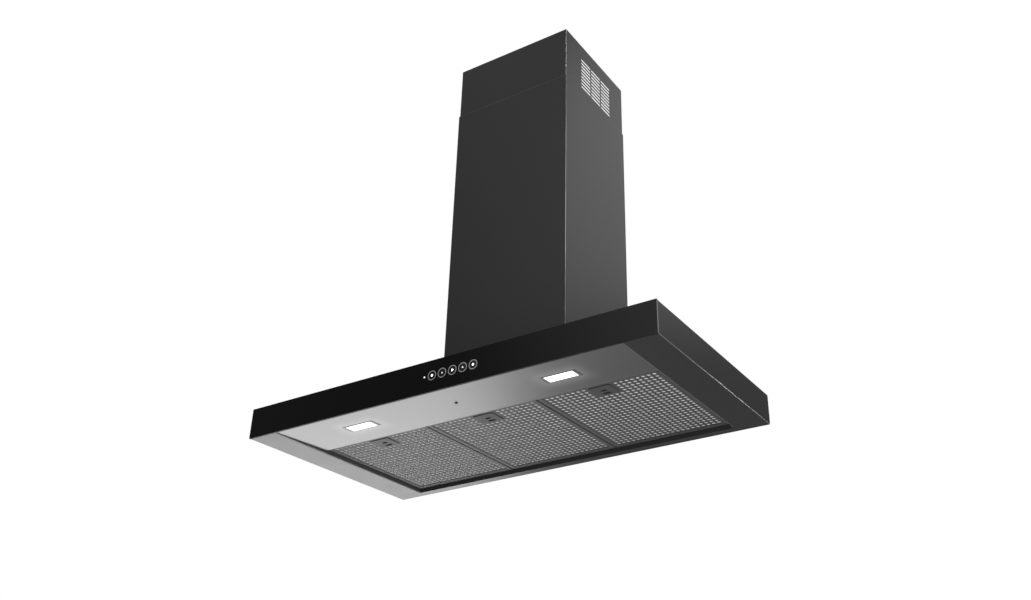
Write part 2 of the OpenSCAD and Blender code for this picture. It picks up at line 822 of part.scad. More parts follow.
// A filter's perforated face, with the latch's window, guides and spring stop
module filter_face(i) {
    half = filter_w / 2 - filter_sheet - face_fit;
    y0 = filter_front_y + filter_sheet + face_fit;
    y1 = filter_rear_y - filter_sheet - face_fit;
    guide_x = latch_w / 2 + latch_clear;
    guide_z = latch_z + latch_t + latch_clear;
    blank = (blank_columns - 1) / 2;
    first_row_y = filter_front_y + hole_front;
    stop_half = 8;
    stop_over = 1;
    color(steel_filter)
    translate([filter_x(i), 0, 0]) {
        difference() {
            block([-half, y0, face_z], [half, y1, face_top_z]);
            for (c = [-hole_columns:hole_columns], r = [0:hole_rows - 1])
                if (abs(c) > blank || r >= blank_rows)
                    translate([c * hole_pitch_x, first_row_y + r * hole_pitch_y, face_z - cut])
                        cylinder(d = hole_d, h = filter_sheet + 2 * cut, $fn = 24);
            block([-window_w / 2, window_y, face_z - cut],
                [window_w / 2, window_y + window_d, face_top_z + cut]);
        }
        for (side = [-1, 1])
            mirror([side < 0 ? 1 : 0, 0, 0]) {
                block([guide_x, window_y, face_z],
                    [guide_x + guide_t, window_y + window_d, guide_z + filter_sheet]);
                block([guide_x - guide_lip, window_y, guide_z],
                    [guide_x + guide_t, window_y + window_d, guide_z + filter_sheet]);
            }
        block([-stop_half, stop_y, face_z], [stop_half, stop_y + stop_t, latch_z + latch_t + stop_over]);
    }
}

// A filter's mesh core: a foil folded to and fro, cut away round the latch
module filter_core(i) {
    half = filter_w / 2 - filter_sheet - 2 * face_fit;
    y0 = filter_front_y + filter_sheet + 2 * face_fit;
    foil_gap = 0.05;
    z0 = face_top_z + foil_gap;
    rise = filter_top_z - filter_sheet - z0 - foil_t - foil_gap;
    folds = floor((filter_d - 2 * filter_sheet - 4 * face_fit) / (fold_pitch / 2));
    lower = [for (k = [0:folds]) [y0 + k * fold_pitch / 2, z0 + (k % 2) * rise]];
    upper = [for (k = [folds:-1:0]) [y0 + k * fold_pitch / 2, z0 + (k % 2) * rise + foil_t]];
    color(mesh_silver)
    translate([filter_x(i), 0, 0])
        difference() {
            translate([-half, 0, 0]) rotate([90, 0, 90])
                linear_extrude(2 * half) polygon(concat(lower, upper));
            block([-pocket_w / 2, y0 - cut, z0 - cut],
                [pocket_w / 2, stop_y + stop_t + pocket_end, filter_top_z]);
        }
}

// A filter's latch: a plate with a tongue, a neck through the window, and a pad with two finger slots
module filter_latch(i) {
    color(steel_filter)
    translate([filter_x(i), 0, 0])
        difference() {
            union() {
                block([-latch_w / 2, latch_front_y, latch_z],
                    [latch_w / 2, latch_rear_y, latch_z + latch_t]);
                block([-tongue_w / 2, filter_front_y - filter_front_gap + tongue_short, latch_z],
                    [tongue_w / 2, latch_front_y + cut, latch_z + latch_t]);
                block([neck_gap - window_w / 2, window_y + neck_gap, pad_z + pad_t / 2],
                    [window_w / 2 - neck_gap, window_y + window_d - latch_travel - neck_gap,
                    latch_z + latch_t / 2]);
                block([-pad_w / 2, pad_front_y, pad_z], [pad_w / 2, pad_rear_y, pad_z + pad_t]);
            }
            for (k = [0, 1])
                translate([0, slot_y + k * slot_pitch, 0])
                    let (half = (k == 0 ? front_slot_l : slot_l) / 2)
                        block([-half, -slot_w / 2, pad_z - cut],
                            [half, slot_w / 2, latch_z + latch_t + cut]);
        }
}

// A latch's return spring: a flat strip folded between the latch and its stop
module filter_spring(i) {
    gap = 0.3;
    length = spring_l - gap;
    turns = 4;
    reach = 6;
    rise = (length - spring_t) / turns;
    lean = atan(rise / (2 * reach));
    color(zinc)
    translate([filter_x(i), stop_y - length, latch_z])
        for (k = [0:turns - 1])
            mirror([k % 2, 0, 0]) translate([-reach, k * rise, 0]) rotate([0, 0, lean])
                cube([2 * reach / cos(lean), spring_t, latch_t]);
}

// The sheet box over the blower, open below, with its foot flange and its wall holes
module motor_housing() {
    flange_half = housing_half + foot_flange;
    color(zinc)
    difference() {
        union() {
            block([-housing_half, -housing_d, canopy_h], [housing_half, 0, housing_top]);
            block([-flange_half, -housing_d - foot_flange, canopy_h],
                [flange_half, -flange_w, canopy_h + housing_sheet]);
        }
        block([-housing_half + housing_sheet, -housing_d + housing_sheet, canopy_h - cut],
            [housing_half - housing_sheet, -housing_sheet, housing_top - housing_sheet]);
        translate([0, axis_y, 0])
            block([-scroll_w / 2, -scroll_r1, housing_top - housing_sheet - cut],
                [scroll_w / 2, -throat_in, housing_top + cut]);
        for (side = [-1, 1], level = [-1, 1])
            rod_y(side * wall_hole_x / 2, canopy_h + wall_hole_mid_z + level * wall_hole_z / 2,
                wall_hole_d / 2, -housing_sheet - cut, cut);
        screw_holes(concat(flange_screws, front_screws), canopy_h - cut, canopy_h + housing_sheet + cut);
        screw_holes(collar_screws, housing_top - housing_sheet - cut, housing_top + cut);
    }
}

// Outline of the scroll seen along the wheel's axis, in y and z, grown by the given wall
module scroll_outline(wall, top) {
    span = 360 - scroll_start;
    r0 = scroll_r0 + wall;
    tongue = acos((throat_in - wall) / r0);
    throat = [
        [-scroll_r1 - wall, top], [wall - throat_in, top], [-r0 * cos(tongue), r0 * sin(tongue)],
    ];
    spiral = [for (a = [scroll_start + scroll_step:scroll_step:360])
        let (r = r0 + scroll_grow * (a - scroll_start) / span) [-r * cos(a), r * sin(a)]];
    translate([axis_y, axis_z]) polygon(concat(throat, spiral));
}

// One half of the scroll: side is -1 for the left one and 1 for the right one
module scroll_half(side) {
    width = scroll_w / 2;
    outer = width + scroll_wall;
    flange_x = outer + outlet_flange;
    color(plastic_grey)
    mirror([side < 0 ? 1 : 0, 0, 0])
        difference() {
            union() {
                rotate([90, 0, 90]) linear_extrude(outer) scroll_outline(scroll_wall, throat_top);
                translate([0, axis_y, axis_z])
                    block([0, -scroll_r1 - outlet_flange, throat_top - scroll_wall],
                        [flange_x, -throat_in + outlet_flange, throat_top]);
                rod_x(axis_y, axis_z, inlet_d / 2 + mouth_t, outer - cut, outer + mouth_l);
            }
            translate([-cut, 0, 0]) rotate([90, 0, 90])
                linear_extrude(width + cut) scroll_outline(0, throat_top + cut);
            rod_x(axis_y, axis_z, inlet_d / 2, width - cut, outer + mouth_l + cut);
        }
}

// The motor: its can, with a bearing boss at each end and the shaft's bore
module motor() {
    color(zinc)
    difference() {
        union() {
            rod_x(axis_y, axis_z, motor_d / 2, motor_rear_x, motor_front_x);
            rod_x(axis_y, axis_z, motor_boss_r,
                motor_rear_x - motor_boss_l, motor_front_x + motor_boss_l);
        }
        rod_x(axis_y, axis_z, shaft_d / 2 + shaft_clear,
            motor_rear_x - motor_boss_l - cut, motor_front_x + motor_boss_l + cut);
    }
}

// The ring round the motor, with three arms
module motor_bracket() {
    x1 = -scroll_w / 2 - scroll_wall - grommet_l;
    x0 = x1 - scroll_wall;
    color(zinc)
    difference() {
        union() {
            rod_x(axis_y, axis_z, motor_d / 2 + bracket_ring, x0, x1);
            for (k = [0:2])
                translate([0, axis_y, axis_z]) rotate([90 + 120 * k, 0, 0]) {
                    block([x0, 0, -bracket_arm_w / 2], [x1, bracket_arm_r, bracket_arm_w / 2]);
                    rod_x(bracket_arm_r, 0, bracket_arm_w / 2, x0, x1);
                }
        }
        rod_x(axis_y, axis_z, motor_d / 2, x0 - cut, x1 + cut);
    }
}

// Rubber mounts between the bracket's arms and the scroll
module motor_grommets() {
    x1 = -scroll_w / 2 - scroll_wall;
    color(rubber_black)
    for (k = [0:2])
        translate([0, axis_y, axis_z]) rotate([90 + 120 * k, 0, 0])
            rod_x(bracket_arm_r, 0, grommet_r, x1 - grommet_l, x1);
}

// The motor's shaft, through the motor and into the wheel's hub
module motor_shaft() {
    color(zinc)
    rod_x(axis_y, axis_z, shaft_d / 2, motor_rear_x - motor_boss_l - 3, hub_l + 2);
}

// The middle disc of the blower wheel, with its hub
module impeller_disc() {
    color(plastic_grey)
    difference() {
        union() {
            rod_x(axis_y, axis_z, wheel_r, -disc_t / 2, disc_t / 2);
            rod_x(axis_y, axis_z, hub_r, -disc_t / 2, hub_l);
        }
        rod_x(axis_y, axis_z, shaft_d / 2, -disc_t - cut, hub_l + cut);
    }
}

// The leaning blades on one face of the disc, with the ring at their far ends:
// side is -1 for the left one and 1 for the right one
module impeller_blades(side) {
    half = wheel_w / 2;
    inset = 0.5;
    outer = wheel_r - inset;
    inner = wheel_in_r + inset;
    blade = [
        [inner, -blade_t / 2], [inner, blade_t / 2],
        [outer * cos(blade_lean), outer * sin(blade_lean) + blade_t / 2],
        [outer * cos(blade_lean), outer * sin(blade_lean) - blade_t / 2],
    ];
    color(plastic_grey)
    mirror([side < 0 ? 1 : 0, 0, 0]) {
        difference() {
            rod_x(axis_y, axis_z, wheel_r, half - disc_t, half);
            rod_x(axis_y, axis_z, wheel_in_r, half - 2 * disc_t, half + disc_t);
        }
        for (k = [0:blades - 1])
            translate([disc_t / 2, axis_y, axis_z]) rotate([k * 360 / blades, 0, 0])
                rotate([90, 0, 90]) linear_extrude(half - disc_t) polygon(blade);
    }
}

// The duct collar: a square base, the spigot and the ledge that the flaps rest on
module outlet_collar() {
    ledge_gap = 0.3;
    ledge_z = flap_z - flap_t / 2 - ledge_gap;
    color(plastic_black)
    difference() {
        translate([0, -collar_y, 0])
            difference() {
                union() {
                    block([-collar_base / 2, -collar_base / 2, housing_top],
                        [collar_base / 2, collar_base / 2, collar_z]);
                    translate([0, 0, housing_top])
                        cylinder(r = collar_r, h = collar_base_t + collar_l, $fn = 96);
                }
                translate([0, 0, ledge_z]) cylinder(r = collar_in, h = collar_l, $fn = 96);
                translate([0, 0, housing_top - cut]) {
                    cylinder(r = collar_in - ledge_w, h = ledge_z, $fn = 96);
                    cylinder(r = collar_in, h = ledge_z - ledge_t - housing_top + cut, $fn = 96);
                }
                rod_x(0, flap_z, axle_d / 2, -collar_r - cut, collar_r + cut);
            }
        screw_holes(collar_screws, housing_top - cut, collar_z + cut);
    }
}

// The flaps' axle, across the collar
module flap_axle() {
    color(zinc)
    rod_x(-collar_y, flap_z, axle_d / 2, -collar_r + axle_inset, collar_r - axle_inset);
}

// A half-round flap with its two knuckles: side is -1 for the front one and 1 for the rear one
module flap(side) {
    pitch = knuckle_l + knuckle_gap;
    first = side < 0 ? 0 : 1;
    flap_r = collar_in - flap_gap;
    color(plastic_grey)
    translate([0, -collar_y, flap_z])
        mirror([0, side < 0 ? 1 : 0, 0])
            difference() {
                union() {
                    intersection() {
                        translate([0, 0, -flap_t / 2]) cylinder(r = flap_r, h = flap_t, $fn = 96);
                        block([-flap_r - cut, flap_edge, -flap_t], [flap_r + cut, flap_r + cut, flap_t]);
                    }
                    for (k = [first:2:knuckles - 1])
                        translate([(k - knuckles / 2) * pitch, 0, 0]) {
                            rod_x(0, 0, knuckle_r, 0, knuckle_l);
                            block([0, 0, -flap_t / 2], [knuckle_l, flap_edge + cut, flap_t / 2]);
                        }
                }
                rod_x(0, 0, axle_d / 2 + axle_clear, -flap_r, flap_r);
            }
}

// The motor's capacitor, standing on the housing
module capacitor() {
    terminal_x_gap = 12;
    terminal_r = 2;
    terminal_l = 6;
    color(plastic_grey)
    translate([capacitor_at[0], capacitor_at[1], housing_top]) {
        cylinder(r = capacitor_r, h = capacitor_h);
        for (side = [-1, 1])
            translate([side * terminal_x_gap / 2, 0, capacitor_h - cut])
                cylinder(r = terminal_r, h = terminal_l + cut);
    }
}

// The cover over the mains terminals
module terminal_cover() {
    z1 = housing_top + terminal_h;
    w = terminal_wall;
    color(plastic_black)
    difference() {
        block([terminal_x[0], terminal_y[0], housing_top], [terminal_x[1], terminal_y[1], z1]);
        block([terminal_x[0] + w, terminal_y[0] + w, housing_top - cut],
            [terminal_x[1] - w, terminal_y[1] - w, z1 - w]);
        translate([gland_x, gland_y, z1 - w - cut])
            cylinder(r = gland_neck_r + gland_fit, h = w + 2 * cut);
    }
}

// The gland that the mains cable comes in through
module cable_gland() {
    z1 = housing_top + terminal_h;
    z0 = z1 - terminal_wall;
    color(plastic_grey)
    translate([gland_x, gland_y, 0])
        difference() {
            union() {
                translate([0, 0, z0 - gland_flange_t])
                    cylinder(r = gland_flange_r, h = gland_flange_t, $fn = 6);
                translate([0, 0, z0 - cut]) cylinder(r = gland_neck_r, h = terminal_wall + 2 * cut);
                translate([0, 0, z1]) cylinder(r = gland_flange_r, h = gland_flange_t, $fn = 6);
                translate([0, 0, z1 + gland_flange_t - cut])
                    cylinder(r = gland_flange_r - gland_step, h = gland_dome_h + cut);
            }
            translate([0, 0, z0 - 2 * gland_flange_t])
                cylinder(d = gland_d, h = terminal_h + gland_dome_h + gland_flange_t);
        }
}

// The screws of the housing, the lower chimney and the collar
module housing_screws() {
    color(zinc) {
        for (p = concat(flange_screws, front_screws))
            translate([p[0], p[1], canopy_h + housing_sheet]) screw();
        for (p = tab_screws) translate([p[0], p[1], canopy_h + sheet]) screw();
        for (p = collar_screws) translate([p[0], p[1], collar_z]) screw();
    }
}

// Outline of a chimney seen from above: a U with round front corners and rear flanges
module chimney_outline(half, depth, rear_y) {
    r = corner_r;
    inner = half - sheet;
    inner_r = r - sheet;
    difference() {
        union() {
            translate([-half, -depth + r]) square([2 * half, depth - r + rear_y]);
            translate([-half + r, -depth]) square([2 * (half - r), 2 * r]);
            for (side = [-1, 1])
                translate([side * (half - r), -depth + r]) circle(r = r, $fn = 32);
        }
        translate([-inner, -depth + r]) square([2 * inner, depth - r + rear_y - sheet]);
        translate([-half + r, -depth + sheet]) square([2 * (half - r), 2 * r]);
        for (side = [-1, 1])
            translate([side * (half - r), -depth + r]) circle(r = inner_r, $fn = 32);
        translate([-half + flange_w, -2 * r + rear_y]) square([2 * (half - flange_w), 4 * r]);
    }
}

// The lower chimney, with the two tabs that fasten it to the canopy
module lower_chimney() {
    color(steel_black)
    difference() {
        union() {
            translate([0, 0, canopy_h])
                linear_extrude(lower_top - canopy_h) chimney_outline(lower_half, chimney_d, 0);
            for (side = [-1, 1])
                translate([side * foot_tab_x, -chimney_d, canopy_h])
                    block([-foot_tab_w / 2, sheet / 2, 0], [foot_tab_w / 2, sheet + foot_tab_l, sheet]);
        }
        screw_holes(tab_screws, canopy_h - cut, canopy_h + sheet + cut);
    }
}

// The upper chimney, with a vent in each side
module upper_chimney() {
    column_pitch = vent_l + vent_bar;
    first_y = -vent_mid - (vent_columns - 1) / 2 * column_pitch;
    first_z = upper_top - vent_drop;
    color(steel_black)
    difference() {
        translate([0, 0, upper_bottom])
            linear_extrude(upper_l) chimney_outline(upper_half, upper_d, upper_rear_y);
        for (side = [-1, 1], c = [0:vent_columns - 1], r = [0:vent_rows - 1])
            translate([side * upper_half, first_y + c * column_pitch, first_z - r * vent_pitch])
                block([-2 * sheet, -vent_l / 2, -vent_h / 2], [2 * sheet, vent_l / 2, vent_h / 2]);
        screw_holes_y();
    }
}

// Holes for the brackets' screws, through their plates and the chimney's flanges
module screw_holes_y() {
    for (side = [-1, 1])
        rod_y(side * bracket_screw_x, bracket_z + bracket_h / 2, screw_d / 2 + screw_fit,
            upper_rear_y - sheet - bracket_t - cut, upper_rear_y + cut);
}

// The two brackets that hold the upper chimney near the ceiling
module ceiling_brackets() {
    leaf_x = upper_half - flange_w - 2;
    seat_y = upper_rear_y - sheet;
    z0 = bracket_z;
    z1 = bracket_z + bracket_h;
    color(zinc)
    difference() {
        for (side = [-1, 1])
            mirror([side < 0 ? 1 : 0, 0, 0]) {
                block([leaf_x - bracket_leaf, -bracket_t, z0], [leaf_x, 0, z1]);
                block([leaf_x - bracket_t, seat_y - bracket_t, z0], [leaf_x, 0, z1]);
                block([leaf_x - bracket_t, seat_y - bracket_t, z0], [upper_in, seat_y, z1]);
                block([upper_in - bracket_t, -bracket_arm, z0], [upper_in, seat_y, z1]);
            }
        for (side = [-1, 1])
            rod_y(side * (leaf_x - bracket_leaf / 2), (z0 + z1) / 2, bracket_hole_d / 2,
                -bracket_t - cut, cut);
        screw_holes_y();
    }
}

// The screws between the brackets and the upper chimney
module bracket_screws() {
    tip = bracket_t + sheet;
    color(zinc)
    for (side = [-1, 1])
        translate([side * bracket_screw_x, upper_rear_y - sheet - bracket_t, bracket_z + bracket_h / 2])
            rotate([-90, 0, 0]) {
                translate([0, 0, -screw_head_h]) cylinder(r = screw_head_r, h = screw_head_h);
                translate([0, 0, -cut]) cylinder(d = screw_d, h = tip + cut);
            }
}

canopy_shell();
glass_front();
button_rings();
indicator_lens();
control_housing();
control_board();
keypad_domes();
button(0);  // button_1
button(1);  // button_2
button(2);  // button_3
button(3);  // button_4
button(4);  // button_5
lamp_panel();
panel_post();
panel_screw();
lamp_bezel(-1);  // lamp_left_bezel
lamp_bezel(1);  // lamp_right_bezel
lamp_lens(-1);  // lamp_left_lens
lamp_lens(1);  // lamp_right_lens
lamp_board(-1);  // lamp_left_board
lamp_board(1);  // lamp_right_board
filter_rail();
filter_dividers();
filter_frame(0);  // filter_left_frame
filter_frame(1);  // filter_middle_frame
filter_frame(2);  // filter_right_frame
filter_face(0);  // filter_left_face
filter_face(1);  // filter_middle_face
filter_face(2);  // filter_right_face
filter_core(0);  // filter_left_core
filter_core(1);  // filter_middle_core
filter_core(2);  // filter_right_core
filter_latch(0);  // filter_left_latch
filter_latch(1);  // filter_middle_latch
filter_latch(2);  // filter_right_latch
filter_spring(0);  // filter_left_spring
filter_spring(1);  // filter_middle_spring
filter_spring(2);  // filter_right_spring
motor_housing();
scroll_half(-1);  // scroll_left
scroll_half(1);  // scroll_right
motor();
motor_bracket();
motor_grommets();
motor_shaft();
impeller_disc();
impeller_blades(-1);  // impeller_left_blades
impeller_blades(1);  // impeller_right_blades
outlet_collar();
flap_axle();
flap(-1);  // flap_front
flap(1);  // flap_rear
capacitor();
terminal_cover();
cable_gland();
housing_screws();
lower_chimney();
upper_chimney();
ceiling_brackets();
bracket_screws();
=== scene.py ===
"""Looks of a wall-mounted chimney range hood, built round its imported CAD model.

Lengths are in metres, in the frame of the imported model: +X is to the right seen from the front,
+Y points to the wall and +Z is up. The origin is on the wall, at the middle of the canopy's
underside.
"""

import json
import math

import bmesh
import bpy
from mathutils import Matrix, Vector


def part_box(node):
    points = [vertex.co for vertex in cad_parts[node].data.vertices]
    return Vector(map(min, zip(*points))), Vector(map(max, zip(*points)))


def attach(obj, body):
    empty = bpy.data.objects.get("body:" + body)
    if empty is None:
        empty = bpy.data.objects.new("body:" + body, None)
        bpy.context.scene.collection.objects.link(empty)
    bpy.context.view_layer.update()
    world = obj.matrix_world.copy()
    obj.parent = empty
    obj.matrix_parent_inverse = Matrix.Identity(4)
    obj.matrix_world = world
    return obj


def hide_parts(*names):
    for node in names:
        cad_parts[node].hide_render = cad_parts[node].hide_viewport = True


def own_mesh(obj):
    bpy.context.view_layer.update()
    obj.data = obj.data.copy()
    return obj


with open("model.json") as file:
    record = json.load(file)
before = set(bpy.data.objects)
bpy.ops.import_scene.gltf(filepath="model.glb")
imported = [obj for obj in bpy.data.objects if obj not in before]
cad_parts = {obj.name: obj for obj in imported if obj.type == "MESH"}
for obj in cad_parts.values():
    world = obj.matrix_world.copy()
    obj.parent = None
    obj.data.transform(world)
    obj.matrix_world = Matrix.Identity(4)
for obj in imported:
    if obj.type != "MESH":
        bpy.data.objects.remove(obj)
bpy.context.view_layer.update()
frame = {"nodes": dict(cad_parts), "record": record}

MM = 0.001
SIDES = ("left", "middle", "right")

# Expanded mesh in the filters: run and rise of its diamonds, width and thickness of its strands
FINE_MESH = {"run": 3.4 * MM, "rise": 2.0 * MM, "width": 0.95 * MM, "thick": 0.2 * MM}
COARSE_MESH = {"run": 7.0 * MM, "rise": 4.0 * MM, "width": 1.2 * MM, "thick": 0.3 * MM}
# Distance between the coarse layer's folds, and how far both layers stay inside the filter's core
MESH_FOLD = 12 * MM
MESH_INSET = Vector((2 * MM, 1 * MM, 0))
# How far a strand leans as a share of its half width, and the room for that in a layer's height
STRAND_LEAN = 0.3
LEAN_ROOM = 1.2
# Half width and depth of the space round a latch, measured from the core's front
LATCH_POCKET = (28.6 * MM, 56.5 * MM)

# Symbols on the buttons, each with its radius; a triangle's turn is from pointing to the right
DISC_R = 2.3 * MM
SYMBOLS = {
    "button_1": ("disc", DISC_R, 0),
    "button_2": ("triangle", 1.9 * MM, -90),
    "button_3": ("triangle", 3.3 * MM, 0),
    "button_4": ("triangle", 2.2 * MM, 90),
    "button_5": ("disc", DISC_R, 0),
}
# How far a symbol stands out of its cap, and its rings: depths as shares of that, radii of its own
SYMBOL_RISE = 0.07 * MM
SYMBOL_PROFILE = ((1.0, 1.0), (-0.5, 1.0), (-1.0, 0.93))

# Sides of a disc, a screw and a dome
ROUND_SIDES = 32

# Screws: the head's radius and height, the shank's radius, the thread's pitch, and half the width
# of the cross recess's arms
HEAD_R = 3.5 * MM
HEAD_H = 2.5 * MM
SHANK_R = 1.95 * MM
THREAD_PITCH = 0.9 * MM
RECESS_ARM = 0.5 * MM
# Radii of the rings over the head, and the recess's reach, as shares of the head's radius
HEAD_RINGS = (0.05, 0.15, 0.25, 0.35, 0.45, 0.54, 0.56, 0.7, 0.85, 0.95, 1.0)
RECESS_REACH = 0.55
# Height of the head's edge, and the recess's depth, as shares of the head's height
HEAD_EDGE = 0.55
RECESS_DEPTH = 0.45
# Radius of the thread's root as a share of the shank's
THREAD_ROOT = 0.82

# Pairs of height and radius of a rubber dome, as shares of the whole
DOME_PROFILE = ((0.0, 1.0), (0.14, 1.0), (0.22, 0.93), (0.78, 0.68), (0.94, 0.62), (1.0, 0.54))

# Radii of the rounded edges of CAD nodes
EDGES = {
    "canopy_shell": 0.7 * MM,
    "glass_front": 0.5 * MM,
    "lower_chimney": 0.5 * MM,
    "lamp_panel": 0.4 * MM,
    "lamp_left_bezel": 0.4 * MM,
    "lamp_right_bezel": 0.4 * MM,
    "motor_housing": 0.4 * MM,
    "terminal_cover": 0.4 * MM,
    "outlet_collar": 0.4 * MM,
}
# Edges that turn by less than this, in degrees, stay as they are; the others get these steps
EDGE_ANGLE = 40
EDGE_STEPS = 2
# Parts with round holes in a flat face: what meets at less than this angle, in degrees, is one face
FLAT_ANGLE = 1
FLAT_PARTS = ("glass_front", "lamp_panel")
# Points closer than these are one point: where solids are counted, and where edges are rounded
SAME_POINT = 0.001 * MM
WELD_REACH = 0.002 * MM

# Camera, fitted to the photograph's corners: pixels, metres and degrees
PHOTO_W = 1031
PHOTO_H = 600
FOCAL_PX = 1063.39
AXIS_PX = (594.65, 302.65)
SENSOR_MM = 36
CAMERA_AT = (1.11932, -1.81758, -0.74072)
CAMERA_YAW = 30.149
CAMERA_PITCH = 27.839
CAMERA_ROLL = -0.593
CLIP_START = 0.05
CLIP_END = 200

# Base colour of the black glass
GLASS_BLACK = (0.0025, 0.0025, 0.003)

# Fine grain's share in the tone of sheet metal; slow changes have the rest
GRAIN_SHARE = 0.65

# How much a surface turns where the painted highlight on folds starts and where it is full
FOLD_HIGHLIGHT_TURN = (0.1, 0.45)

# Painted light on the opening's walls, which are made paler as if lit: how far its box reaches past the
# panel and the rail and stays under the canopy's top, and the share of it on the rear wall, which is left
# darker as if in shade
RECESS_MARGIN = 1 * MM
RECESS_TOP = 3 * MM
REAR_WALL_LIGHT = 0.35

# Glow on the panel round the lamps
GLOW_REACH = 0.045
GLOW_STRENGTH = 0.12
GLOW_FALLOFF = 2.5

# Studio round the hood: its level at the left and right, the share that its front wall loses,
# and a soft patch of light on that wall, where the glass mirrors it. Where each starts and ends
# is told by the X, Y or Z of the direction in which it is seen
STUDIO_SIDES = (-0.7, -0.3)
STUDIO_LEVEL = (0.38, 0.2)
FRONT_REACH = (-0.1, -0.55)
FRONT_SHADE = 0.45
PATCH_RISE = (-0.6, -0.32)
PATCH_FALL = (-0.05, -0.25)
PATCH_MID_Z = 0.42
PATCH_HALF_Z = (0.3, 0.14)
PATCH_GLOW = 1.3

# Floor, at the depth of a kitchen floor below the hood, and the distances from its middle
# between which it fades, from one share of white to the other
FLOOR_Z = -1.55
FLOOR_HALF = 30
FADE_REACH = (0.5, 4.5)
FADE_SHARE = (0.35, 1.0)


def grey(level, blue=0.0):
    """A grey, with a little more blue if asked."""
    return (level, level, level + blue)


def make_camera():
    """The camera of the photograph: its place, its direction and its off-centre frame."""
    yaw, pitch, roll = (math.radians(a) for a in (CAMERA_YAW, CAMERA_PITCH, CAMERA_ROLL))
    reach = math.cos(pitch)
    forward = Vector((-math.sin(yaw) * reach, math.cos(yaw) * reach, math.sin(pitch)))
    level = Vector((math.cos(yaw), math.sin(yaw), 0))
    upright = level.cross(forward)
    right = math.cos(roll) * level + math.sin(roll) * upright
    up = -math.sin(roll) * level + math.cos(roll) * upright
    data = bpy.data.cameras.new("photo_camera")
    data.sensor_width = SENSOR_MM
    data.lens = FOCAL_PX / PHOTO_W * SENSOR_MM
    data.shift_x = (PHOTO_W / 2 - AXIS_PX[0]) / PHOTO_W
    data.shift_y = (AXIS_PX[1] - PHOTO_H / 2) / PHOTO_W
    data.clip_start = CLIP_START
    data.clip_end = CLIP_END
    camera = bpy.data.objects.new("photo_camera", data)
    turn = Matrix((right, up, -forward)).transposed().to_4x4()
    camera.matrix_world = Matrix.Translation(CAMERA_AT) @ turn
    bpy.context.scene.collection.objects.link(camera)
    bpy.context.scene.camera = camera


